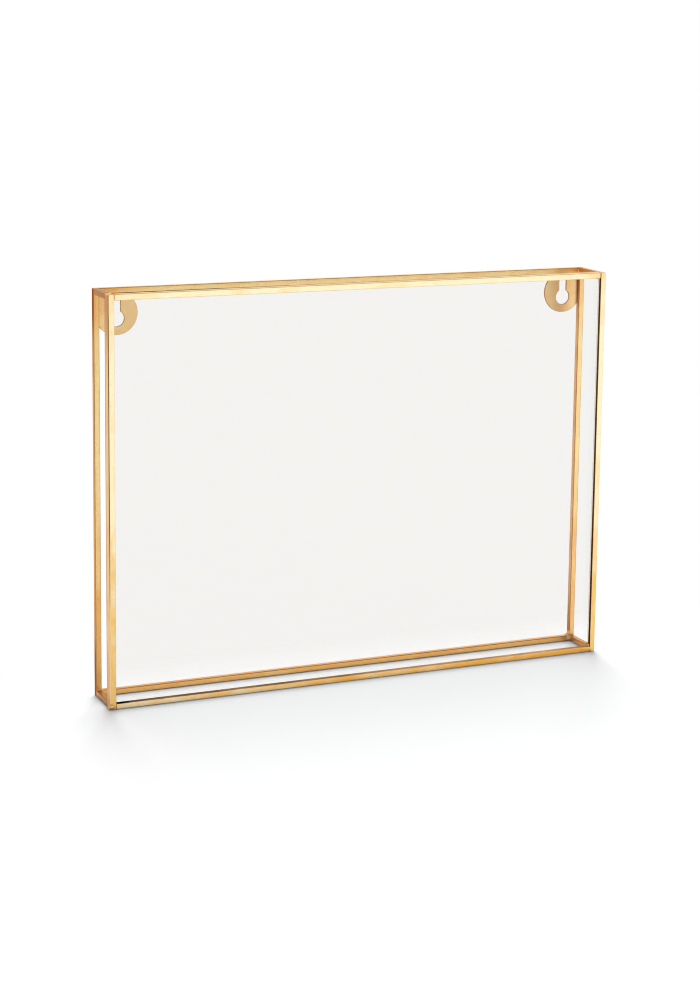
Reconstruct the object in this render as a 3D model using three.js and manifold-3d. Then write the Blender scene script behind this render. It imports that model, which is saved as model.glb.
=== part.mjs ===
// Floating frame: an open box of slim brass bars with two panes of glass in its front.
// Millimetres. +Z is up, +X runs along the width, and the glazed front faces -Y.
// The origin is on the surface that the frame stands on, under the middle of the box.

import * as THREE from "three";
import { mergeVertices } from "three/addons/utils/BufferGeometryUtils.js";
import Module from "manifold-3d";

const wasm = await Module();
wasm.setup();

// ---- driving dimensions ----
const width = 278;              // outside, along X
const height = 210;             // outside, along Z
const depth = 27;               // outside, along Y

const bar = 3.0;                // square bar of the back frame and the corner ties
const edgeRadius = 0.35;        // rounding of every bar's long outer edges

const faceWidth = 3.1;          // front bars, as seen from the front
const frontDepth = 6.2;         // front bars, front to back
const lipDepth = 2.7;           // solid front lip that holds the glass in
const wall = 0.9;               // thin outer wall behind the lip

const paneThickness = 1.3;      // each of the two panes
const paneGap = 0.15;           // lip to pane, and pane to pane
const paneEdgeGap = 0.3;        // pane edge to outer wall

const beadWidth = 0.9;          // clear glazing bead, across the rear pane
const beadHeight = 0.5;         // the same bead, up the outer wall
const beadGap = 0.05;           // between the bead and the faces that it seals

const plateThickness = 1.0;     // hanger plates in the upper back corners
const plateRadius = 11.1;       // round outline of a plate
const plateInset = 12.2;        // its centre, in from the frame's side
const plateDrop = 13.0;         // its centre, down from the frame's top
const keyholeRadius = 4.05;     // round part of the keyhole, for a screw's head
const keyholeDrop = 15.8;       // its centre, down from the frame's top
const slotWidth = 4.2;          // neck of the keyhole, for the screw's shank
const slotTopDrop = 7.0;        // centre of the neck's round end, down from the top

const filletLeg = 2.6;          // solder fillets, along each bar that they join
const filletGap = 0.05;         // between a fillet and its bars
const backFilletInset = 0.5;    // back fillets start this far behind the bars' front
const backFilletDepth = 1.4;    // back fillets, front to back
const frontFilletInset = 0.2;   // front fillets start this far in from the side
const frontFilletWidth = 1.8;   // front fillets, along X

const edgeSteps = 3;            // segments in a rounded edge
const filletSteps = 6;          // segments in a fillet's hollow face
const outlineSteps = 24;        // segments in each arc of a hanger plate

// ---- places worked out from them ----
const halfWidth = width / 2;
const frontY = -depth / 2;
const lipBackY = frontY + lipDepth;
const frontFrameBackY = frontY + frontDepth;
const backY = depth / 2;
const backFrameFrontY = backY - bar;
const panePitch = paneGap + paneThickness;
const rearPaneBackY = lipBackY + 2 * panePitch;

const SIDES = [["left", -1], ["right", 1]];
const LEVELS = [["bottom", 0, 1], ["top", height, -1]];    // name, outer Z, way inwards

// ---- materials ----
function brass(color, roughness) {
  return new THREE.MeshStandardMaterial({ color, roughness, metalness: 1 });
}

function clear(color, roughness, opacity) {
  return new THREE.MeshStandardMaterial({ color, roughness, metalness: 0, transparent: true, opacity });
}

const frontBrass = brass(0xf0cd86, 0.34);
const backBrass = brass(0xdcae66, 0.38);
const plateBrass = brass(0xd6a768, 0.46);
const solderBrass = brass(0xc9974e, 0.42);
const glass = clear(0xf2f2ef, 0.04, 0.25);
const clearSealant = clear(0xeeece6, 0.3, 0.5);

// ---- small tools ----
const model = new THREE.Group();

function addPart(name, geometry, material) {
  const mesh = new THREE.Mesh(geometry, material);
  mesh.name = name;
  model.add(mesh);
}

function arcPoints(centreA, centreB, radius, from, to, steps) {
  const points = [];
  for (let step = 0; step <= steps; step += 1) {
    const angle = from + (to - from) * step / steps;
    points.push([centreA + radius * Math.cos(angle), centreB + radius * Math.sin(angle)]);
  }
  return points;
}

function extrude(points, length) {
  const outline = new THREE.Shape(points.map(([a, b]) => new THREE.Vector2(a, b)));
  return new THREE.ExtrudeGeometry(outline, { depth: length, bevelEnabled: false });
}

// Points are (x, y) and the solid runs along Z.
function extrudeUp(points, lowZ, highZ) {
  return extrude(points, highZ - lowZ).translate(0, 0, lowZ);
}

// Points are (y, z) and the solid runs along X.
function extrudeAcross(points, lowX, highX) {
  const turn = new THREE.Matrix4().makeBasis(
    new THREE.Vector3(0, 1, 0), new THREE.Vector3(0, 0, 1), new THREE.Vector3(1, 0, 0));
  return extrude(points, highX - lowX).applyMatrix4(turn).translate(lowX, 0, 0);
}

// Points are (x, z) and the solid runs along Y.
function extrudeBack(points, lowY, highY) {
  const turn = new THREE.Matrix4().makeBasis(
    new THREE.Vector3(1, 0, 0), new THREE.Vector3(0, 0, 1), new THREE.Vector3(0, -1, 0));
  return extrude(points, highY - lowY).applyMatrix4(turn).translate(0, highY, 0);
}

function boxBetween(low, high) {
  const size = high.map((value, axis) => value - low[axis]);
  const middle = high.map((value, axis) => (value + low[axis]) / 2);
  return new THREE.BoxGeometry(...size).translate(...middle);
}

function toSolid(geometry) {
  const bare = geometry.clone();
  bare.deleteAttribute("normal");
  bare.deleteAttribute("uv");
  const merged = mergeVertices(bare, 1e-5);
  return new wasm.Manifold(new wasm.Mesh({
    numProp: 3,
    vertProperties: new Float32Array(merged.attributes.position.array),
    triVerts: new Uint32Array(merged.index.array),
  }));
}

function toGeometry(solid) {
  const mesh = solid.getMesh();
  const geometry = new THREE.BufferGeometry();
  geometry.setAttribute("position", new THREE.BufferAttribute(mesh.vertProperties, 3));
  geometry.setIndex(new THREE.BufferAttribute(mesh.triVerts, 1));
  geometry.computeVertexNormals();
  return geometry;
}

// ---- front frame: bars with a solid lip in front and a thin wall round the glass ----
// A section's points are (across, y), where across is 0 outside the frame and grows inwards.
const roundedFront = arcPoints(
  edgeRadius, frontY + edgeRadius, edgeRadius, Math.PI, 1.5 * Math.PI, edgeSteps);
const lipSection = [...roundedFront, [faceWidth, frontY], [faceWidth, lipBackY], [0, lipBackY]];
const wallSection = [[0, lipBackY], [wall, lipBackY], [wall, frontFrameBackY], [0, frontFrameBackY]];
const stileSection = [...lipSection.slice(0, -1), ...wallSection.slice(1)];

for (const [name, side] of SIDES) {
  const section = stileSection.map(([across, y]) => [side * (halfWidth - across), y]);
  addPart(`front_${name}_stile`, extrudeUp(section, 0, height), frontBrass);
}

// A rail's lip stops at the stiles' lips, and its wall runs on to the stiles' walls.
for (const [name, outerZ, inwards] of LEVELS) {
  const placed = (section) => section.map(([across, y]) => [y, outerZ + inwards * across]);
  const lipEnd = halfWidth - faceWidth;
  const wallEnd = halfWidth - wall;
  const lip = toSolid(extrudeAcross(placed(lipSection), -lipEnd, lipEnd));
  const outerWall = toSolid(extrudeAcross(placed(wallSection), -wallEnd, wallEnd));
  addPart(`front_${name}_rail`, toGeometry(lip.add(outerWall)), frontBrass);
}

// ---- back frame and corner ties: square bar with softened edges ----
function squareSection(centreA, centreB) {
  const reach = bar / 2 - edgeRadius;
  const corners = [[1, 1], [-1, 1], [-1, -1], [1, -1]];
  return corners.flatMap(([a, b], quarter) => arcPoints(
    centreA + a * reach, centreB + b * reach, edgeRadius,
    quarter * Math.PI / 2, (quarter + 1) * Math.PI / 2, edgeSteps));
}

for (const [sideName, side] of SIDES) {
  const barX = side * (halfWidth - bar / 2);
  const stile = extrudeUp(squareSection(barX, backY - bar / 2), 0, height);
  addPart(`back_${sideName}_stile`, stile, backBrass);

  for (const [levelName, outerZ, inwards] of LEVELS) {
    const barZ = outerZ + inwards * bar / 2;
    const tie = extrudeBack(squareSection(barX, barZ), frontFrameBackY, backFrameFrontY);
    addPart(`tie_${levelName}_${sideName}`, tie, backBrass);
  }
}

for (const [name, outerZ, inwards] of LEVELS) {
  const section = squareSection(backY - bar / 2, outerZ + inwards * bar / 2);
  const railEnd = halfWidth - bar;
  addPart(`back_${name}_rail`, extrudeAcross(section, -railEnd, railEnd), backBrass);
}

// ---- glass: two panes, one behind the other, with the displayed sheet's gap between ----
for (const [index, name] of ["front_pane", "rear_pane"].entries()) {
  const nearY = lipBackY + paneGap + index * panePitch;
  const margin = wall + paneEdgeGap;
  const low = [-halfWidth + margin, nearY, margin];
  const high = [halfWidth - margin, nearY + paneThickness, height - margin];
  addPart(name, boxBetween(low, high), glass);
}

// ---- clear glazing bead along each edge of the rear pane ----
const beadSection = [
  [wall + beadGap, rearPaneBackY + beadGap],
  [wall + beadGap + beadWidth, rearPaneBackY + beadGap],
  [wall + beadGap, rearPaneBackY + beadGap + beadHeight],
];

for (const [name, side] of SIDES) {
  const section = beadSection.map(([across, y]) => [side * (halfWidth - across), y]);
  addPart(`glazing_bead_${name}`, extrudeUp(section, wall + beadGap, height - wall - beadGap), clearSealant);
}

for (const [name, outerZ, inwards] of LEVELS) {
  const section = beadSection.map(([across, y]) => [y, outerZ + inwards * across]);
  const beadEnd = halfWidth - wall - beadWidth - 2 * beadGap;
  addPart(`glazing_bead_${name}`, extrudeAcross(section, -beadEnd, beadEnd), clearSealant);
}

// ---- hanger plates: a round plate filled out to the corner, with a keyhole in it ----
function hangerPlate(side) {
  const centreX = side * (halfWidth - plateInset);
  const innerX = side * (halfWidth - bar);
  const innerZ = height - bar;
  const frontOfPlate = backY - plateThickness;
  const through = [frontOfPlate - 1, backY + 1];

  const disc = arcPoints(centreX, height - plateDrop, plateRadius, 0, 2 * Math.PI, 2 * outlineSteps);
  const round = toSolid(extrudeBack(disc.slice(0, -1), frontOfPlate, backY));
  const cornerFill = toSolid(boxBetween(
    [Math.min(centreX, innerX), frontOfPlate, height - plateDrop],
    [Math.max(centreX, innerX), backY, innerZ]));
  const insideFrame = toSolid(boxBetween([-Math.abs(innerX), -depth, 0], [Math.abs(innerX), depth, innerZ]));

  const headHole = arcPoints(
    centreX, height - keyholeDrop, keyholeRadius, 0, 2 * Math.PI, 2 * outlineSteps).slice(0, -1);
  const neck = [
    ...arcPoints(centreX, height - slotTopDrop, slotWidth / 2, 0, Math.PI, outlineSteps / 2),
    [centreX - slotWidth / 2, height - keyholeDrop],
    [centreX + slotWidth / 2, height - keyholeDrop],
  ];
  return round.add(cornerFill)
    .intersect(insideFrame)
    .subtract(toSolid(extrudeBack(headHole, ...through)))
    .subtract(toSolid(extrudeBack(neck, ...through)));
}

for (const [name, side] of SIDES) {
  addPart(`hanger_plate_${name}`, toGeometry(hangerPlate(side)), plateBrass);
}

// ---- solder fillets: a hollow-faced wedge in the inner corner where bars meet ----
// Points start at the inner corner (a, b) and reach along +a and +b times the given ways.
function filletPoints(a, b, wayA, wayB) {
  const cornerA = a + wayA * filletGap;
  const cornerB = b + wayB * filletGap;
  const hollow = arcPoints(filletLeg, filletLeg, filletLeg, Math.PI, 1.5 * Math.PI, filletSteps);
  return [[cornerA, cornerB], ...hollow.map(([p, q]) => [cornerA + wayA * p, cornerB + wayB * q])];
}

for (const [sideName, side] of SIDES) {
  for (const [levelName, outerZ, inwards] of LEVELS) {
    const innerZ = outerZ + inwards * bar;
    const backCorner = filletPoints(side * (halfWidth - bar), innerZ, -side, inwards);
    const backStart = backFrameFrontY + backFilletInset;
    addPart(
      `solder_back_${levelName}_${sideName}`,
      extrudeBack(backCorner, backStart, backStart + backFilletDepth), solderBrass);

    const frontCorner = filletPoints(frontFrameBackY, innerZ, 1, inwards);
    const outerX = side * (halfWidth - frontFilletInset);
    const innerX = outerX - side * frontFilletWidth;
    addPart(
      `solder_front_${levelName}_${sideName}`,
      extrudeAcross(frontCorner, Math.min(outerX, innerX), Math.max(outerX, innerX)), solderBrass);
  }
}

export default model;
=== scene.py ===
"""Floating frame: slim brass bars, two panes of glass and keyhole hanger plates, on a pale studio floor.

Lengths are in metres, so sizes are written as millimetres times MM.
+Z is up and the glazed front faces -Y.
"""

import math

import bmesh
import bpy
from mathutils import Euler, Matrix, Vector, noise


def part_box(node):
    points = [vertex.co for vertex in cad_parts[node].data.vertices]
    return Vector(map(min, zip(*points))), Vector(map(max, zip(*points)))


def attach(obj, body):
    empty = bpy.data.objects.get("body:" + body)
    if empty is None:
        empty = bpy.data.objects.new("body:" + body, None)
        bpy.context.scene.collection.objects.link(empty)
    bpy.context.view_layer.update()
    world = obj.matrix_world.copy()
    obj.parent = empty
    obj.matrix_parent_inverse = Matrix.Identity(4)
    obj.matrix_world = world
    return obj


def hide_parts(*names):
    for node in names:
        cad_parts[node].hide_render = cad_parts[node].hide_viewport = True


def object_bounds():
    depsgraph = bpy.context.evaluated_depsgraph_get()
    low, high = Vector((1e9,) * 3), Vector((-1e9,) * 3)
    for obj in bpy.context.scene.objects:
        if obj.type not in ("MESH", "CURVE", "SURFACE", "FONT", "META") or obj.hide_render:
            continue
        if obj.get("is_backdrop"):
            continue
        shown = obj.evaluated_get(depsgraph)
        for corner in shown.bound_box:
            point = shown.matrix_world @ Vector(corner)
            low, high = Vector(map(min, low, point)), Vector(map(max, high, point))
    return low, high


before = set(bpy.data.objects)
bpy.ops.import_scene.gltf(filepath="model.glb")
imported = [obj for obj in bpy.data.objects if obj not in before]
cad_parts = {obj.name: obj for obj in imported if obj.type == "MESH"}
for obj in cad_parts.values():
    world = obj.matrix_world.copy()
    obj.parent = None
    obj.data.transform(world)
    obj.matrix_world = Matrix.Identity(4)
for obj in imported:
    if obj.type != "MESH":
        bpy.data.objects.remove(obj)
CAD_LOW, CAD_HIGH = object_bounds()

MM = 0.001
BODY = "root"
SCENE = bpy.context.scene
SIDES = (("left", -1), ("right", 1))
LEVELS = (("bottom", 1), ("top", -1))       # the second value points inwards, along Z
FLAT_ENOUGH = 0.985             # a normal's largest part on a face that lies along the axes


# ---------------------------------------------------------------- small tools

def add_piece(name, mesh, slot, replaces, *materials):
    """Makes a shown piece of a mesh, which rides on the body and stands for a CAD node."""
    piece = bpy.data.objects.new(name, mesh)
    SCENE.collection.objects.link(piece)
    for material in materials:
        mesh.materials.append(material)
    for face in mesh.polygons:
        face.use_smooth = True
    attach(piece, BODY)
    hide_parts(replaces)
    return piece


def mesh_from(bm, name):
    bmesh.ops.recalc_face_normals(bm, faces=bm.faces)
    mesh = bpy.data.meshes.new(name)
    bm.to_mesh(mesh)
    bm.free()
    return mesh


def soften(bm, width, segments=3, only=None):
    """Rounds the sharp edges, or those of them that only(edge) picks."""
    bmesh.ops.recalc_face_normals(bm, faces=bm.faces)
    sharp = [edge for edge in bm.edges if edge.calc_face_angle(0) > math.radians(30)]
    if only:
        sharp = [edge for edge in sharp if only(edge)]
    bmesh.ops.bevel(bm, geom=sharp, offset=width, offset_type="OFFSET", segments=segments,
                    profile=0.5, affect="EDGES", clamp_overlap=True)
    bm.normal_update()


def paint_edges(bm, rule):
    """Gives each rounded edge's faces the material number that rule(normal) says, or none."""
    for face in bm.faces:
        if max(abs(part) for part in face.normal) < FLAT_ENOUGH:
            number = rule(face.normal)
            if number is not None:
                face.material_index = number


def keep_flats(piece):
    """Shades the flats flat and the rounded edges round."""
    piece.modifiers.new("flats", "WEIGHTED_NORMAL")


def rgb(red, green, blue):
    return (red, green, blue, 1.0)


class Graph:
    """Short calls for building a node tree."""

    def __init__(self, tree):
        self.tree = tree

    def find(self, kind):
        return next(node for node in self.tree.nodes if node.type == kind)

    def node(self, kind, **settings):
        made = self.tree.nodes.new(kind)
        for key, value in settings.items():
            setattr(made, key, value)
        return made

    def put(self, source, target):
        if isinstance(source, bpy.types.NodeSocket):
            self.tree.links.new(source, target)
        else:
            target.default_value = source

    def math(self, operation, first, second=0.5, clamp=False):
        made = self.node("ShaderNodeMath", operation=operation, use_clamp=clamp)
        self.put(first, made.inputs[0])
        self.put(second, made.inputs[1])
        return made.outputs[0]

    def ramp(self, value, low, high, out_low=0.0, out_high=1.0):
        made = self.node("ShaderNodeMapRange", interpolation_type="SMOOTHSTEP")
        for index, item in enumerate((value, low, high, out_low, out_high)):
            self.put(item, made.inputs[index])
        return made.outputs[0]

    def mix(self, factor, first, second):
        made = self.node("ShaderNodeMix", data_type="RGBA")
        ends = [socket for socket in made.inputs if socket.type == "RGBA"]
        self.put(factor, made.inputs[0])
        self.put(first, ends[0])
        self.put(second, ends[1])
        return next(socket for socket in made.outputs if socket.type == "RGBA")

    def place(self, scale=(1, 1, 1)):
        """The point on the object, in metres, stretched by scale."""
        coordinates = self.node("ShaderNodeTexCoord")
        mapping = self.node("ShaderNodeMapping")
        self.put(coordinates.outputs["Object"], mapping.inputs["Vector"])
        mapping.inputs["Scale"].default_value = scale
        return mapping.outputs["Vector"]

    def stretched(self, along, stretch):
        """The same point, for a pattern that changes slowly along one axis."""
        return self.place([stretch if axis == along else 1.0 for axis in "xyz"])

    def split(self, vector):
        made = self.node("ShaderNodeSeparateXYZ")
        self.put(vector, made.inputs[0])
        return made.outputs

    def noise(self, vector, scale, detail=3.0, roughness=0.55):
        made = self.node("ShaderNodeTexNoise")
        self.put(vector, made.inputs["Vector"])
        made.inputs["Scale"].default_value = scale
        made.inputs["Detail"].default_value = detail
        made.inputs["Roughness"].default_value = roughness
        return made.outputs[0]

    def bump(self, height, strength, distance, normal=None):
        made = self.node("ShaderNodeBump")
        made.inputs["Strength"].default_value = strength
        made.inputs["Distance"].default_value = distance
        self.put(height, made.inputs["Height"])
        if normal is not None:
            self.put(normal, made.inputs["Normal"])
        return made.outputs["Normal"]


def new_material(name):
    material = bpy.data.materials.new(name)
    material.use_nodes = True
    graph = Graph(material.node_tree)
    return material, graph, graph.find("BSDF_PRINCIPLED")


# ---------------------------------------------------------------- materials

GRAIN_SCALE = 2600.0            # the brushed grain, per metre
GRAIN_STRETCH = 0.04            # how slowly it changes along a bar
GRAIN_BUMP = (0.18, 0.02 * MM)              # strength and depth of its bump
GRAIN_ROUGHNESS = (-0.06, 0.08)             # what it takes from the roughness or adds to it
CLOUD_SCALE = 170.0             # the cloudy colour, in the same way
CLOUD_STRETCH = 0.35
CLOUD_BUMP = (0.25, 0.06 * MM)
SPECKLE_SCALE = 1500.0
SPECKLE_SHADE = (0.75, 0.68, 0.6)           # a speckle's colour as a share of the deep colour

# A tone grades a brass between its deep and its pale colour as painted shade: low down the brass mirrors the
# shadowed floor, and the dark lines fade out along the bars. It gives the height where the brass is at its
# deepest, the height where it is at its palest, and how far up a step to the right counts.
TONE = (15 * MM, 135 * MM, 0.0)             # all brass but the following
RAIL_TONE = (-50 * MM, 110 * MM, -0.4)      # faces of the front rails
LIP_TONE = (-330 * MM, 230 * MM, 1.0)       # lips of the front rails
STRIP_TONE = (200 * MM, 349 * MM, -1.0)     # rear strips of the front rails
LINE_TONE = (40 * MM, 92 * MM, 0.0)         # corner line of the left stile
SIDE_TONE = (-90 * MM, 60 * MM, 0.0)        # sides of the stiles

# How far from the frame's corners the painted shade in the corners reaches
CORNER_SHADE_REACH = 16 * MM
BACK_CORNER_SHADE_REACH = 40 * MM
SIDE_CORNER_SHADE_REACH = 42 * MM
PLATE_CORNER_SHADE_REACH = 21 * MM
HALF_WIDTH = CAD_HIGH.x
HALF_HEIGHT = CAD_HIGH.z / 2


def corner_distance(graph, spot):
    """Distance from the nearest of the frame's four corners, seen from the front."""
    across = graph.math("SUBTRACT", graph.math("ABSOLUTE", spot["X"]), HALF_WIDTH)
    level = graph.math("ABSOLUTE", graph.math("SUBTRACT", spot["Z"], HALF_HEIGHT))
    upright = graph.math("SUBTRACT", level, HALF_HEIGHT)
    squares = graph.math("ADD", graph.math("POWER", across, 2.0), graph.math("POWER", upright, 2.0))
    return graph.math("POWER", squares, 0.5)


def brass(name, pale, deep, along, roughness=0.3, spots=0.35, cloud_share=0.3, corner_shade=0.35, tone=TONE,
          reach=CORNER_SHADE_REACH, dull=False):
    """Lacquered satin brass, brushed along one axis, cloudy and speckled, with painted shade: its tone and
    the frame's corners make it deeper.

    Spots, cloud_share and the strength of the painted corner shade say how strongly each of them shows. Dull
    brass keeps its colour at a slant.
    """
    material, graph, shader = new_material(name)
    grain = graph.noise(graph.stretched(along, GRAIN_STRETCH), GRAIN_SCALE, 4.0)
    clouds = graph.noise(graph.stretched(along, CLOUD_STRETCH), CLOUD_SCALE, 3.0)
    speckle = graph.noise(graph.place(), SPECKLE_SCALE, 2.0)
    spot = graph.split(graph.place())
    deepest, palest, slope = tone
    level = graph.math("ADD", spot["Z"], graph.math("MULTIPLY", spot["X"], slope))
    paleness = graph.math("ADD", graph.ramp(level, deepest, palest),
                          graph.ramp(clouds, 0.3, 0.7, -cloud_share, cloud_share), clamp=True)
    # Painted shade: deeper colour towards the frame's corners, where the bars meet
    corner_shading = graph.ramp(corner_distance(graph, spot), 0.0, reach, corner_shade, 0.0)
    paleness = graph.math("SUBTRACT", paleness, corner_shading, clamp=True)
    colour = graph.mix(paleness, deep, pale)
    dark = rgb(*(part * shade for part, shade in zip(deep, SPECKLE_SHADE)))
    colour = graph.mix(graph.ramp(speckle, 0.6, 0.72, 0.0, spots), colour, dark)
    graph.put(colour, shader.inputs["Base Color"])
    if dull:
        graph.put(colour, shader.inputs["Specular Tint"])
    shader.inputs["Metallic"].default_value = 1.0
    least, most = (roughness + change for change in GRAIN_ROUGHNESS)
    graph.put(graph.ramp(grain, 0.2, 0.8, least, most), shader.inputs["Roughness"])
    fine = graph.bump(grain, *GRAIN_BUMP)
    graph.put(graph.bump(clouds, *CLOUD_BUMP, fine), shader.inputs["Normal"])
    return material


GLASS_COLOUR = rgb(0.947, 0.943, 0.933)
GLASS_GLOSS = rgb(0.15, 0.15, 0.15)         # keeps its reflections faint
GLASS_PASSES = rgb(0.925, 0.925, 0.925)     # light from the lamps and the studio that each face lets through
SEALANT_CLOUD_SCALE = 900.0
SEALANT_COLOURS = (rgb(0.97, 0.965, 0.95), rgb(0.99, 0.985, 0.975))


def clear_glass():
    """Clear float glass: a faint warm grey, and lamps shine through it."""
    material, graph, shader = new_material("clear_glass")
    shader.inputs["Base Color"].default_value = GLASS_COLOUR
    shader.inputs["Roughness"].default_value = 0.0
    shader.inputs["IOR"].default_value = 1.5
    shader.inputs["Specular Tint"].default_value = GLASS_GLOSS
    shader.inputs["Transmission Weight"].default_value = 1.0
    passing = graph.node("ShaderNodeBsdfTransparent")
    passing.inputs["Color"].default_value = GLASS_PASSES
    rays = graph.node("ShaderNodeLightPath")
    surface = shader.outputs[0]
    for kind in ("Is Diffuse Ray", "Is Shadow Ray"):
        mixed = graph.node("ShaderNodeMixShader")
        graph.put(rays.outputs[kind], mixed.inputs[0])
        graph.put(surface, mixed.inputs[1])
        graph.put(passing.outputs[0], mixed.inputs[2])
        surface = mixed.outputs[0]
    graph.put(surface, graph.find("OUTPUT_MATERIAL").inputs["Surface"])
    return material


def clear_sealant():
    """The glazing bead: clear silicone, slightly cloudy. It hardly bends light against the glass."""
    material, graph, shader = new_material("clear_sealant")
    cloudy = graph.noise(graph.place(), SEALANT_CLOUD_SCALE, 2.0)
    graph.put(graph.mix(cloudy, *SEALANT_COLOURS), shader.inputs["Base Color"])
    shader.inputs["Roughness"].default_value = 0.1
    shader.inputs["IOR"].default_value = 1.15
    shader.inputs["Transmission Weight"].default_value = 1.0
    return material


# Pale and deep colours of the bars that run along X and along Z. The deep colour shows in the clouds and as
# painted shade towards the bottom and the corners.
PALE = {"x": rgb(0.96, 0.83, 0.54), "z": rgb(0.94, 0.82, 0.54)}
DEEP = {"x": rgb(1.0, 0.51, 0.10), "z": rgb(0.84, 0.54, 0.18)}
BACK_PALE = {"x": rgb(1.0, 0.78, 0.38), "z": rgb(1.0, 0.76, 0.36)}
BACK_DEEP = {"x": rgb(0.92, 0.50, 0.14), "z": rgb(0.91, 0.53, 0.19)}
front_brass = {"x": brass("front_brass_x", PALE["x"], DEEP["x"], "x", tone=RAIL_TONE),
               "z": brass("front_brass_z", PALE["z"], DEEP["z"], "z")}
back_brass = {axis: brass(f"back_brass_{axis}", BACK_PALE[axis], BACK_DEEP[axis], axis,
                          corner_shade=0.9, reach=BACK_CORNER_SHADE_REACH)
              for axis in "xz"}
# Darker copies of the brass for the stiles' sides: painted shade, deeper still towards the bottom and the
# corners
front_shaded_side = brass("front_shaded_side", rgb(0.85, 0.72, 0.42), rgb(0.58, 0.29, 0.09), "z",
                   corner_shade=1.0, tone=SIDE_TONE, reach=SIDE_CORNER_SHADE_REACH)
back_shaded_side = brass("back_shaded_side", rgb(0.82, 0.58, 0.34), rgb(0.46, 0.22, 0.08), "z",
                  corner_shade=1.0, tone=SIDE_TONE, reach=SIDE_CORNER_SHADE_REACH, dull=True)
# The ties' brass in two copies, lit on the right and much darker on the left: painted shade
tie_lit_and_shaded = {"left": brass("tie_brass_left", rgb(0.40, 0.17, 0.02), rgb(0.47, 0.22, 0.05), "y"),
             "right": brass("tie_brass_right", rgb(0.80, 0.43, 0.14), rgb(0.82, 0.40, 0.10), "y")}
rim_brass = brass("rim_brass", rgb(0.84, 0.66, 0.42), rgb(0.74, 0.42, 0.14), "y")
edge_brass = brass("edge_brass", rgb(0.52, 0.27, 0.10), rgb(0.46, 0.20, 0.06), "y")
# Painted shade on the front bars' lips: near black on the stiles, and on the rails darkest towards the lower
# left and the corners
lip_shade = {"x": brass("lip_tarnish_x", rgb(0.98, 0.62, 0.34), rgb(0.05, 0.03, 0.02), "x", 0.45,
                          cloud_share=0.15, corner_shade=0.6, tone=LIP_TONE, dull=True),
               "z": brass("lip_tarnish_z", rgb(0.15, 0.08, 0.02), rgb(0.13, 0.04, 0.01), "z", 0.45,
                          dull=True)}
# Painted shade along the front bars' rear strips: near black at the top rail's left end, brass elsewhere on
# the rails, dark brown on the stiles
shaded_rear_line = {"x": brass("rear_line_x", rgb(0.07, 0.05, 0.02), rgb(0.85, 0.65, 0.42), "x", 0.4,
                        corner_shade=0.0, tone=STRIP_TONE, dull=True),
             "z": brass("rear_line_z", rgb(0.46, 0.24, 0.09), rgb(0.52, 0.25, 0.09), "z", 0.4)}
# Painted shade along the left stile's outer front corner: dark above, fading into brass near the bottom
shaded_corner_line = brass("shaded_corner_line", rgb(0.20, 0.12, 0.03), rgb(0.92, 0.62, 0.28), "z", 0.35, tone=LINE_TONE,
                    dull=True)
plate_brass = brass("plate_brass", rgb(1.0, 0.70, 0.34), rgb(0.90, 0.48, 0.17), "x", 0.33, 0.25,
                    corner_shade=0.8, reach=PLATE_CORNER_SHADE_REACH)
solder_brass = brass("solder_brass", rgb(0.88, 0.58, 0.27), rgb(0.78, 0.44, 0.16), "x", 0.34)
glass = clear_glass()
sealant = clear_sealant()

# ---------------------------------------------------------------- bars

EDGE = 0.32 * MM                # rounding of the bars' edges
RING_STEP = 6 * MM              # spacing of the cross-sections along a bar
SWAY = 0.05 * MM                # how far a hand-built bar strays from straight
SWAY_RATE = 20                  # how fast it strays to and fro, per metre
SWAY_ROWS = (0.5, 7.5)          # rows of the noise for a bar's two cross directions
LIP_DEPTH = 2.7 * MM            # solid front lip of the front bars
WALL = 0.9 * MM                 # thin outer wall behind the lip
# The rear strip is painted shade.
STRIP = {"stile": 1.0 * MM, "rail": 2.8 * MM}       # dark strip along the rear edge of their outer sides
LIP_STRAIGHT = 1.8 * MM         # depth of the lip's front part
UNDERCUT = {"stile": 0.6 * MM, "rail": 0.0}         # how far the lip narrows behind that
# The corner line is painted shade.
CORNER_DARK = 0.75 * MM         # width of the left stile's dark corner line
CORNER_ROUND = 0.6 * MM         # the frame's four outer corners, seen from the front
EDGE_LEAN = 0.2                 # how far a rounded edge's face leans to count as facing one way


def cross_axes(axis):
    """The two axes across a bar."""
    return [index for index in range(3) if index != axis]


def ring_at(bm, points, axis, along, sway=(0.0, 0.0)):
    """A bar's outline as points at one place along it, shifted sideways by sway."""
    ring = []
    for point in points:
        place = Vector((0, 0, 0))
        place[axis] = along
        for index, value, shift in zip(cross_axes(axis), point, sway):
            place[index] = value + shift
        ring.append(bm.verts.new(place))
    return ring


def join_rings(bm, near, far):
    """Faces between two rings. Returns them in the order of the ring's sides."""
    count = len(near)
    return [bm.faces.new((near[side], near[(side + 1) % count], far[(side + 1) % count], far[side]))
            for side in range(count)]


def sweep(points, axis, start, end, seed, finishes=None):
    """A bar's outline swept along one axis, some of its sides in a material number of their own.

    The seed picks how it strays. Returns the mesh and its two open ends.
    """
    bm = bmesh.new()
    steps = max(2, round((end - start) / RING_STEP))
    rings = []
    for step in range(steps + 1):
        along = start + (end - start) * step / steps
        fade = math.sin(math.pi * step / steps)
        sway = [SWAY * fade * noise.noise(Vector((along * SWAY_RATE, seed, row))) for row in SWAY_ROWS]
        rings.append(ring_at(bm, points, axis, along, sway))
    for near, far in zip(rings, rings[1:]):
        faces = join_rings(bm, near, far)
        for number, finish in (finishes or {}).items():
            faces[number].material_index = finish
    return bm, rings[0], rings[-1]


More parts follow.
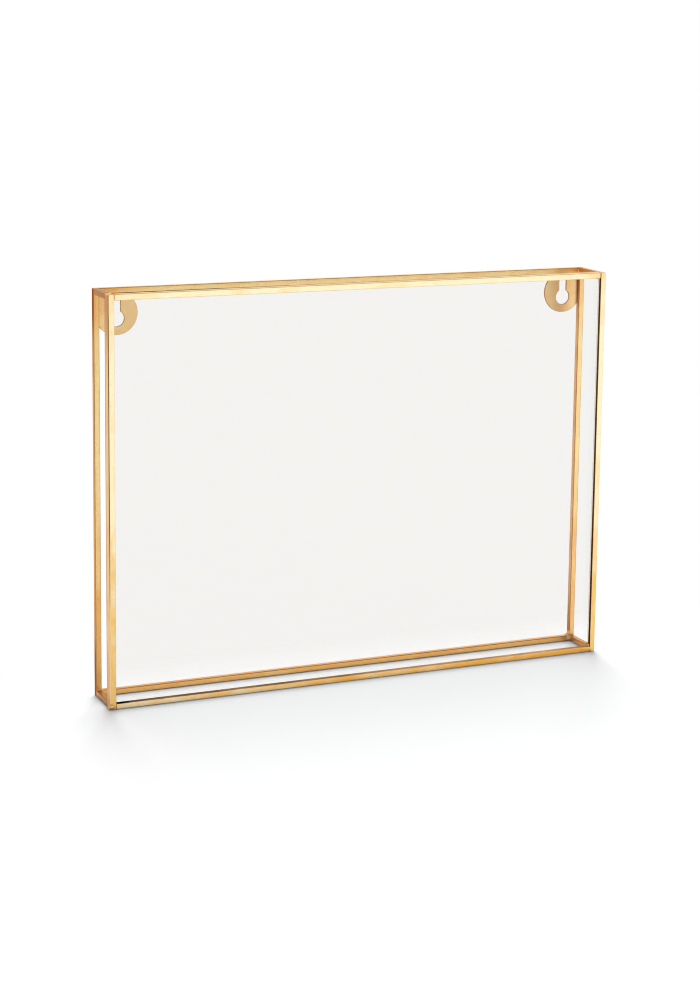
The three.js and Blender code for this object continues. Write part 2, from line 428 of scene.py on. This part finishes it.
def square_bar(node, axis, material, seed):
    """A back bar or a tie: square, with darker edges. The stiles' sides get a darker copy of the brass, as
    painted shade.
    """
    low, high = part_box(node)
    first, second = cross_axes(axis)
    outline = [(low[first], low[second]), (high[first], low[second]),
               (high[first], high[second]), (low[first], high[second])]
    bm, near, far = sweep(outline, axis, low[axis], high[axis], seed)
    bm.faces.new(near)
    bm.faces.new(far)
    soften(bm, EDGE)
    paint_edges(bm, lambda normal: 1)
    if axis == 2:
        for face in bm.faces:
            if abs(face.normal.x) > FLAT_ENOUGH:
                face.material_index = 2
    piece = add_piece(f"{node}_bar", mesh_from(bm, node), "back_brass", node,
                      material, edge_brass, back_shaded_side)
    keep_flats(piece)


for side_name, side in SIDES:
    square_bar(f"back_{side_name}_stile", 2, back_brass["z"], side)
    for level_name, inwards in LEVELS:
        square_bar(f"tie_{level_name}_{side_name}", 1, tie_lit_and_shaded[side_name], side * 3 + inwards)
for level_name, inwards in LEVELS:
    square_bar(f"back_{level_name}_rail", 0, back_brass["x"], 9 + inwards)


def rebated_outline(outer, inner, front, back, kind, swap):
    """The front bars' section: a solid lip in front and a thin wall behind it, outside the glass."""
    inwards = 1 if inner > outer else -1
    lip_back = front + LIP_DEPTH
    wall_inner = outer + inwards * WALL
    strip = STRIP[kind]
    lip_inner = inner - inwards * UNDERCUT[kind]
    points = [(outer, front), (inner, front), (inner, front + LIP_STRAIGHT), (lip_inner, lip_back),
              (wall_inner, lip_back), (wall_inner, back), (outer, back), (outer, back - strip),
              (outer, lip_back), (outer, front + CORNER_DARK)]
    return [(y, across) if swap else (across, y) for across, y in points]


# Points of that outline round the lip, and those round the wall
LIP_POINTS = (0, 1, 2, 3, 4, 8, 9)
WALL_POINTS = slice(4, 9)
# Sides of the outline, numbered from the front face round by the lip to the outer side's front corner
LIP_FRONT, LIP_REAR = 1, 2
OUTER_STRIP, OUTER_REAR, OUTER_FRONT, OUTER_CORNER = 6, 7, 8, 9
# Material numbers in the order in which add_front_bar hands them over. Number 0 is the faces' own brass.
# Of these, the lip's, the rear strip's, the corner line's and the outer side's materials are painted shade.
LIP_SHADE, DARK_EDGE, SHADED_REAR_LINE, SHADED_CORNER_LINE, SOLDER, OUTER_SHADED_SIDE, RIM = range(1, 8)
RAIL_FINISHES = {LIP_FRONT: LIP_SHADE, LIP_REAR: LIP_SHADE, OUTER_STRIP: SHADED_REAR_LINE}
STILE_FINISHES = {side: {LIP_FRONT: LIP_SHADE, OUTER_STRIP: SHADED_REAR_LINE, OUTER_REAR: OUTER_SHADED_SIDE,
                         OUTER_FRONT: OUTER_SHADED_SIDE, OUTER_CORNER: corner}
                  for side, corner in ((-1, SHADED_CORNER_LINE), (1, OUTER_SHADED_SIDE))}


def rail_edge(normal, level):
    """A rail's rear edges are dark, and so is the top rail's right seam.

    The bottom rail's seams are full of solder, and its upper front edge gets the same painted shade as its
    lip.
    """
    if level == "top" and normal.x > EDGE_LEAN:
        return DARK_EDGE
    if level == "bottom" and abs(normal.x) > EDGE_LEAN:
        return SOLDER
    if normal.y > EDGE_LEAN:
        return DARK_EDGE
    return LIP_SHADE if level == "bottom" and normal.z > EDGE_LEAN else RIM


def stile_edge(normal, side):
    """A stile's rear edges are dark, and each stile has a dark line of painted shade on its left front edge.
    """
    if normal.y > EDGE_LEAN:
        return DARK_EDGE
    if normal.x < -EDGE_LEAN and normal.y < -EDGE_LEAN:
        return SHADED_CORNER_LINE if side < 0 else LIP_SHADE
    return RIM


def is_outer_end(edge, outer):
    """Whether an edge runs front to back at a stile's outer corner, top or bottom."""
    return all(abs(point.co.x - outer) < SWAY and abs(abs(point.co.z - HALF_HEIGHT) - HALF_HEIGHT) < SWAY
               for point in edge.verts)


def add_front_bar(node, bm, axis):
    """Shows a front stile or rail, with the materials that the numbers above stand for."""
    piece = add_piece(f"{node}_bar", mesh_from(bm, node), "front_brass", node,
                      front_brass[axis], lip_shade[axis], edge_brass, shaded_rear_line[axis], shaded_corner_line,
                      solder_brass, front_shaded_side, rim_brass)
    keep_flats(piece)


for side_name, side in SIDES:
    node = f"front_{side_name}_stile"
    low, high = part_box(node)
    outer, inner = (low.x, high.x) if side < 0 else (high.x, low.x)
    outline = rebated_outline(outer, inner, low.y, high.y, "stile", False)
    bm, near, far = sweep(outline, 2, low.z, high.z, side * 5, STILE_FINISHES[side])
    bm.faces.new(near)
    bm.faces.new(far)
    soften(bm, CORNER_ROUND, 4, lambda edge: is_outer_end(edge, outer))
    soften(bm, EDGE)
    paint_edges(bm, lambda normal: stile_edge(normal, side))
    add_front_bar(node, bm, "z")

# A front rail's lip stops at the stiles' lips, and its wall runs on to the stiles' walls.
for level_name, inwards in LEVELS:
    node = f"front_{level_name}_rail"
    low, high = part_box(node)
    outer, inner = (low.z, high.z) if inwards > 0 else (high.z, low.z)
    outline = rebated_outline(outer, inner, low.y, high.y, "rail", True)
    stile_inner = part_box("front_right_stile")[0].x
    bm, near, far = sweep(outline, 0, -stile_inner, stile_inner, 20 + inwards, RAIL_FINISHES)
    for ring, end in ((near, low.x), (far, high.x)):
        bm.faces.new([ring[index] for index in LIP_POINTS])
        tip = ring_at(bm, outline[WALL_POINTS], 0, end)
        join_rings(bm, ring[WALL_POINTS], tip)
        bm.faces.new(tip)
    soften(bm, EDGE)
    paint_edges(bm, lambda normal: rail_edge(normal, level_name))
    add_front_bar(node, bm, "x")

# ---------------------------------------------------------------- glass and its bead

PANE_EDGE = 0.12 * MM           # the panes' seamed edges
BEAD_STEPS = 4                  # flats round the bead's curved side
for node in ("front_pane", "rear_pane"):
    low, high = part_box(node)
    bm = bmesh.new()
    bmesh.ops.create_cube(bm, size=1.0, matrix=Matrix.LocRotScale((low + high) / 2, None, high - low))
    soften(bm, PANE_EDGE, 2)
    piece = add_piece(f"{node}_glass", mesh_from(bm, node), "clear_glass", node, glass)
    keep_flats(piece)

for name in ("left", "right", "bottom", "top"):
    node = f"glazing_bead_{name}"
    low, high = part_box(node)
    axis = 2 if name in ("left", "right") else 0
    across = 0 if axis == 2 else 2
    outer, inner = (low, high) if name in ("left", "bottom") else (high, low)
    width = inner[across] - outer[across]
    height = high.y - low.y
    outline = [(outer[across], low.y)]
    for step in range(BEAD_STEPS + 1):
        turn = math.pi / 2 * step / BEAD_STEPS
        outline.append((outer[across] + width * math.cos(turn), low.y + height * math.sin(turn)))
    if axis == 0:
        outline = [(y, z) for z, y in outline]
    bm, near, far = sweep(outline, axis, low[axis], high[axis], 31)
    bm.faces.new(near)
    bm.faces.new(far)
    add_piece(f"{node}_strip", mesh_from(bm, node), "clear_sealant", node, sealant)

# ---------------------------------------------------------------- hanger plates

PLATE_RADIUS = 11.1 * MM
KEYHOLE_RADIUS = 4.05 * MM
KEYHOLE_DROP = 2.8 * MM         # the keyhole's round part below the plate's centre
SLOT_HALF = 2.1 * MM
SLOT_TOP = 6.0 * MM             # centre of the slot's round end above the plate's centre
PLATE_EDGE = 0.18 * MM          # rounding of its edges
DISC_STEPS = 64
HOLE_STEPS = 48
SLOT_STEPS = 16
WELD = 0.002 * MM               # points this close are one point


def arc(centre, radius, start, end, steps):
    """Points along an arc, both ends included."""
    return [(centre[0] + radius * math.cos(start + (end - start) * step / steps),
             centre[1] + radius * math.sin(start + (end - start) * step / steps))
            for step in range(steps + 1)]


def plate_outline(reach_side, reach_top):
    """Round the disc from the top rail to the stile, then out to the corner. The corner is at +X, +Z."""
    start = math.asin(reach_top / PLATE_RADIUS)
    end = -math.acos(reach_side / PLATE_RADIUS)
    points = arc((0, 0), PLATE_RADIUS, math.pi - start, 2 * math.pi + end, DISC_STEPS)
    return points + [(reach_side, reach_top)]


def keyhole_outline():
    """Round the hole from one side of the slot to the other, then round the slot's end."""
    half_angle = math.asin(SLOT_HALF / KEYHOLE_RADIUS)
    up = math.pi / 2
    hole = arc((0, -KEYHOLE_DROP), KEYHOLE_RADIUS, up + half_angle, up + 2 * math.pi - half_angle, HOLE_STEPS)
    return hole + arc((0, SLOT_TOP), SLOT_HALF, 0, math.pi, SLOT_STEPS)


for side_name, side in SIDES:
    node = f"hanger_plate_{side_name}"
    low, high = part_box(node)
    corner_x = high.x if side > 0 else low.x
    centre_x = low.x + PLATE_RADIUS if side > 0 else high.x - PLATE_RADIUS
    centre = Vector((centre_x, (low.y + high.y) / 2, low.z + PLATE_RADIUS))
    curve = bpy.data.curves.new(node, "CURVE")
    curve.dimensions = "2D"
    curve.fill_mode = "BOTH"
    for points in (plate_outline(abs(corner_x - centre_x), high.z - centre.z), keyhole_outline()):
        spline = curve.splines.new("POLY")
        spline.points.add(len(points) - 1)
        for target, (x, z) in zip(spline.points, points):
            target.co = (side * x, z, 0, 1)
        spline.use_cyclic_u = True
    curve.extrude = (high.y - low.y) / 2 - PLATE_EDGE
    curve.bevel_depth = PLATE_EDGE
    curve.bevel_resolution = 2
    curve.offset = -PLATE_EDGE
    drawn = bpy.data.objects.new(node, curve)
    bm = bmesh.new()
    bm.from_mesh(drawn.to_mesh())
    bmesh.ops.remove_doubles(bm, verts=bm.verts, dist=WELD)
    upright = Matrix.Translation(centre) @ Matrix.Rotation(math.radians(90), 4, "X")
    bmesh.ops.transform(bm, matrix=upright, verts=bm.verts)
    bpy.data.objects.remove(drawn)
    bm.normal_update()
    for face in bm.faces:
        if abs(face.normal.y) < FLAT_ENOUGH:
            face.material_index = 1
    piece = add_piece(f"{node}_disc", mesh_from(bm, node), "plate_brass", node, plate_brass, edge_brass)
    keep_flats(piece)

# ---------------------------------------------------------------- solder

SOLDER_LEG = 1.0 * MM           # how far a fillet climbs each bar
BIG_FILLET = ("solder_back_bottom_right", 2.7 * MM)
SOLDER_RUN = 2.4 * MM           # length of a fillet along its corner
TIE_SHARE = 0.8                 # size of the fillets against the ties
SOLDER_SINK = 0.35 * MM         # how deep it sits in the bars
SOLDER_STEPS = 6                # flats on a fillet's hollow face
SOLDER_VOXEL = 0.16 * MM
SOLDER_FLOW = (0.6, 8)          # factor and rounds of the smoothing
SOLDER_LUMP = 0.1 * MM          # unevenness of its surface
SOLDER_LUMP_SIZE = 1.6 * MM


def add_fillet(bm, corner, first, second, run):
    """A hollow-faced wedge in the corner between two bars. first and second point along the bars."""
    length = first.length
    section = [corner - (first + second) / length * SOLDER_SINK]
    section.append(corner + first - second / length * SOLDER_SINK)
    for step in range(SOLDER_STEPS + 1):
        turn = math.pi / 2 * step / SOLDER_STEPS
        section.append(corner + first * (1 - math.sin(turn)) + second * (1 - math.cos(turn)))
    section.append(corner + second - first / length * SOLDER_SINK)
    near = [bm.verts.new(point) for point in section]
    far = [bm.verts.new(point + run) for point in section]
    join_rings(bm, near, far)
    bm.faces.new(near)
    bm.faces.new(far)


def solder_piece(node, corner, ways, leg, drops=()):
    """Flowed solder where a stile, a rail and a tie meet: a wedge in each corner, and any drops."""
    bm = bmesh.new()
    for place, size in drops:
        shape = Matrix.LocRotScale(Vector(place) * MM, None, Vector(size) * MM)
        bmesh.ops.create_icosphere(bm, subdivisions=3, radius=1.0, matrix=shape)
    across, back, up = ways
    leg_x, leg_y, leg_z = across * leg, back * leg, up * leg
    for way, first, second in ((back, leg_x, leg_z), (across, leg_y * TIE_SHARE, leg_z * TIE_SHARE),
                               (up, leg_x * TIE_SHARE, leg_y * TIE_SHARE)):
        add_fillet(bm, corner - way * SOLDER_RUN, first, second, way * SOLDER_RUN)
    piece = add_piece(f"{node}_joint", mesh_from(bm, node), "solder", node, solder_brass)
    fuse = piece.modifiers.new("fuse", "REMESH")
    fuse.mode = "VOXEL"
    fuse.voxel_size = SOLDER_VOXEL
    fuse.use_smooth_shade = True
    flow = piece.modifiers.new("flow", "SMOOTH")
    flow.factor, flow.iterations = SOLDER_FLOW
    texture = bpy.data.textures.new(f"{node}_lumps", "CLOUDS")
    texture.noise_scale = SOLDER_LUMP_SIZE
    lumps = piece.modifiers.new("lumps", "DISPLACE")
    lumps.texture = texture
    lumps.texture_coords = "LOCAL"
    lumps.strength = SOLDER_LUMP
    lumps.mid_level = 0.5


# Solder that ran out of the front corners: place and half size, in millimetres
DROPS = {
    "solder_front_bottom_left": [((-138.3, -12.7, 1.6), (1.75, 1.6, 1.6))],
    "solder_front_bottom_right": [((135.6, -12.3, 3.6), (0.9, 1.0, 1.0)),
                                  ((133.9, -12.1, 3.0), (0.8, 0.9, 0.6)),
                                  ((136.1, -13.2, 1.6), (0.9, 0.5, 1.3))],
}

for side_name, side in SIDES:
    for level_name, inwards in LEVELS:
        tie_low, tie_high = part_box(f"tie_{level_name}_{side_name}")
        inner_x = tie_low.x if side > 0 else tie_high.x
        inner_z = tie_high.z if inwards > 0 else tie_low.z
        for end, y, away in (("back", tie_high.y, -1), ("front", tie_low.y, 1)):
            ways = (Vector((-side, 0, 0)), Vector((0, away, 0)), Vector((0, 0, inwards)))
            node = f"solder_{end}_{level_name}_{side_name}"
            leg = BIG_FILLET[1] if node == BIG_FILLET[0] else SOLDER_LEG
            solder_piece(node, Vector((inner_x, y, inner_z)), ways, leg, DROPS.get(node, ()))

# ---------------------------------------------------------------- floor, light and camera

FLOOR_LOW = (-0.55, -1.7)       # the table's corners: little of it lies behind the frame
FLOOR_HIGH = (1.3, 0.07)
FLOOR_COLOUR = rgb(0.646, 0.675, 0.703)     # cool enough to look white in the warm light
FADE = (14 * MM, 60 * MM)                   # where the table behind the frame fades to plain white
FRONT_GLOW = rgb(1.12, 1.12, 1.10)          # the studio in front of the frame
LEFT_GLOW = rgb(0.96, 0.76, 0.60)           # behind it, to the left
RIGHT_GLOW = rgb(1.08, 0.94, 0.80)          # and to the right
CEILING_RISE = (0.4, 0.9)                   # how steeply one looks up where the ceiling begins and is full
CEILING_SHARE = 0.5                         # the ceiling's brightness beside the walls'
# Dark panels: the way to each, the cosines of its full and of its outer width, and its brightness
DARK_PANELS = (((-0.9, -0.4, 0.0), 0.97, 0.86, 0.12),
               ((0.4, -0.17, 0.9), 0.98, 0.92, 0.25))
# Two soft lights behind the frame, high and low: strength, width in degrees, and the way the light travels
SUNS = {"high_softbox": (2.2, 38, (-0.14, -0.33, -0.93)),
        "low_softbox": (2.7, 30, (-0.28, -0.84, -0.46))}
CAMERA_PLACE = (-0.46180, -1.03523, 0.35454)
CAMERA_TURN = (9.497, 23.844, 0.703)        # degrees down, to the right and of roll
CAMERA_LENS = 81.24
CAMERA_SHIFT = -0.1269
SENSOR_WIDTH = 36


def make_floor():
    """A matt table that fades to plain white behind the frame."""
    material, graph, shader = new_material("studio_floor")
    shader.inputs["Base Color"].default_value = FLOOR_COLOUR
    shader.inputs["Roughness"].default_value = 0.9
    shader.inputs["Specular IOR Level"].default_value = 0.0
    white = graph.node("ShaderNodeEmission")
    mixed = graph.node("ShaderNodeMixShader")
    graph.put(graph.ramp(graph.split(graph.place())["Y"], *FADE), mixed.inputs[0])
    graph.put(shader.outputs[0], mixed.inputs[1])
    graph.put(white.outputs[0], mixed.inputs[2])
    graph.put(mixed.outputs[0], graph.find("OUTPUT_MATERIAL").inputs["Surface"])
    bm = bmesh.new()
    corners = [(FLOOR_LOW[0], FLOOR_LOW[1]), (FLOOR_HIGH[0], FLOOR_LOW[1]),
               (FLOOR_HIGH[0], FLOOR_HIGH[1]), (FLOOR_LOW[0], FLOOR_HIGH[1])]
    bm.faces.new([bm.verts.new((x, y, 0)) for x, y in corners])
    floor = bpy.data.objects.new("studio_floor", mesh_from(bm, "studio_floor"))
    SCENE.collection.objects.link(floor)
    floor.data.materials.append(material)
    floor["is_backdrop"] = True


def make_world():
    """A white surround to look at, and a studio that is warmer at the back for what the brass reflects."""
    world = bpy.data.worlds.new("studio")
    SCENE.world = world
    world.use_nodes = True
    graph = Graph(world.node_tree)
    direction = graph.node("ShaderNodeTexCoord").outputs["Generated"]
    parts = graph.split(direction)
    behind = graph.mix(graph.ramp(parts["X"], 0.15, 0.6), LEFT_GLOW, RIGHT_GLOW)
    glow = graph.mix(graph.ramp(parts["Y"], -0.5, 0.35), FRONT_GLOW, behind)
    share = graph.ramp(parts["Z"], *CEILING_RISE, 1.0, CEILING_SHARE)
    for towards, full, outer, brightness in DARK_PANELS:
        dot = graph.node("ShaderNodeVectorMath", operation="DOT_PRODUCT")
        graph.put(direction, dot.inputs[0])
        dot.inputs[1].default_value = Vector(towards).normalized()
        panel = graph.ramp(dot.outputs["Value"], outer, full, 1.0, brightness)
        share = graph.math("MULTIPLY", share, panel)
    glow = graph.mix(share, rgb(0.0, 0.0, 0.0), glow)
    rays = graph.node("ShaderNodeLightPath")
    seen = graph.math("MAXIMUM", rays.outputs["Is Camera Ray"], rays.outputs["Is Transmission Ray"])
    graph.put(graph.mix(seen, glow, rgb(1.0, 1.0, 1.0)), graph.find("BACKGROUND").inputs["Color"])


def make_suns():
    """The soft lights. The brass doesn't mirror them, and the bead doesn't pass them on."""
    for name, (strength, width, way) in SUNS.items():
        lamp = bpy.data.lights.new(name, "SUN")
        lamp.energy = strength
        lamp.angle = math.radians(width)
        thing = bpy.data.objects.new(name, lamp)
        SCENE.collection.objects.link(thing)
        thing.visible_glossy = False
        thing.visible_transmission = False
        thing.rotation_euler = Vector(way).to_track_quat("-Z", "Y").to_euler()


def make_camera():
    """In front of the frame, to its left and a little above, looking down and to the right."""
    data = bpy.data.cameras.new("camera")
    data.sensor_width = SENSOR_WIDTH
    data.lens = CAMERA_LENS
    data.shift_y = CAMERA_SHIFT
    data.clip_start = 0.05
    data.clip_end = 200
    camera = bpy.data.objects.new("camera", data)
    SCENE.collection.objects.link(camera)
    down, right, roll = (math.radians(angle) for angle in CAMERA_TURN)
    camera.location = CAMERA_PLACE
    level = Euler((math.radians(90) - down, 0, -right)).to_matrix()
    camera.rotation_euler = (level @ Matrix.Rotation(roll, 3, "Z")).to_euler()
    SCENE.camera = camera


make_floor()
make_world()
make_suns()
make_camera()
SCENE.view_settings.view_transform = "Standard"
SCENE.cycles.filter_width = 1.1             # crisp edges
SCENE.cycles.caustics_refractive = False
SCENE.cycles.caustics_reflective = False

low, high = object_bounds()
